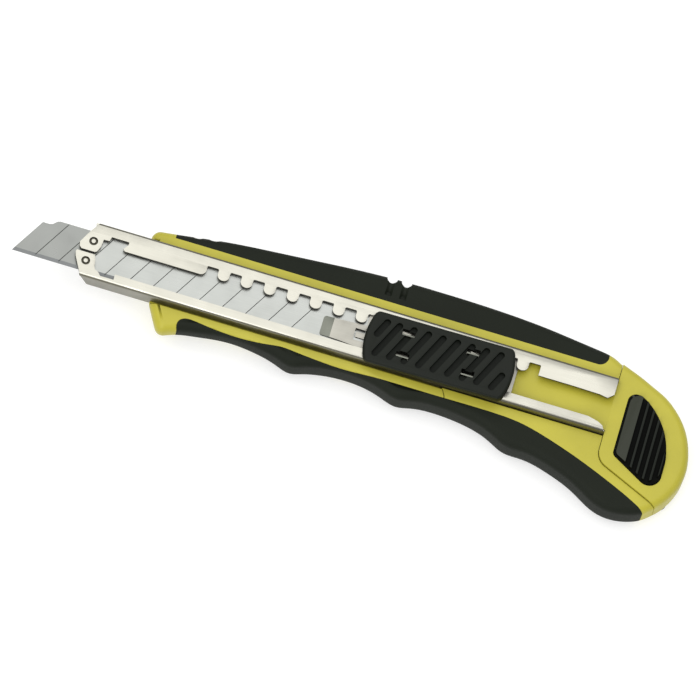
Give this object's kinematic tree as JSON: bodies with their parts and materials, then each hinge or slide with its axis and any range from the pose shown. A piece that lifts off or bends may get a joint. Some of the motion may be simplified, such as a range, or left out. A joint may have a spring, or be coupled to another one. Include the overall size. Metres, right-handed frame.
{
  "type": "utility knife",
  "caption": "Snap-off utility knife: segmented blade on a detented thumb slider in a steel channel, yellow body with black grips, spare-blade magazine, pull-off butt cap with release button.",
  "frame": {"origin": "on the flat back, under the middle of the steel channel's width and about midway along the knife", "axes": "+X from the blade's tip to the butt, +Y towards the spine, +Z from the back up through the slider"},
  "size_m": [0.1479, 0.0362, 0.0139],
  "materials": {
    "yellow_abs": "moulded, satin gloss",
    "black_rubber": "matte overmoulded elastomer",
    "black_plastic": "moulded, satin",
    "stainless_steel": "rolled, bright",
    "blade_steel": "ground, oiled",
    "spring_steel": "blued strip",
    "zinc_screw": "zinc plated"
  },
  "bodies": {
    "body": {"channel": "stainless_steel", "body_frame": "yellow_abs", "side_panel": "yellow_abs", "back_cover": "yellow_abs", "back_screws": "zinc_screw", "spine_grip": "black_rubber", "finger_grip": "black_rubber"},
    "slider": {"slider_knob": "black_plastic", "blade_carrier": "stainless_steel", "detent_spring": "spring_steel", "blade": "blade_steel"},
    "magazine": {"follower_plate": "stainless_steel", "follower_spring": "spring_steel", "spare_blade_upper": "blade_steel", "spare_blade_lower": "blade_steel"},
    "cap": {"end_cap": "yellow_abs", "cap_base": "yellow_abs", "cap_screws": "zinc_screw", "latch_spring": "spring_steel"},
    "button": {"cap_button": "black_plastic"}
  },
  "joints": [
    {"name": "slider_slide", "type": "slide", "parent": "body", "child": "slider", "axis": [-1, 0, 0], "range_m": [-0.02, 0.05], "deforming": ["detent_spring"]},
    {"name": "magazine_lift", "type": "slide", "parent": "body", "child": "magazine", "axis": [0, 0, 1], "range_m": [-0.0006, 0], "stiffness_N_per_m": 150, "springref_m": 0.004, "deforming": ["follower_spring"]},
    {"name": "cap_slide", "type": "slide", "parent": "body", "child": "cap", "axis": [1, 0, 0], "range_m": [0, 0.035]},
    {"name": "button_press", "type": "slide", "parent": "cap", "child": "button", "axis": [0, 0, -1], "range_m": [0, 0.001], "stiffness_N_per_m": 600, "springref_m": -0.001, "deforming": ["latch_spring"]}
  ]
}
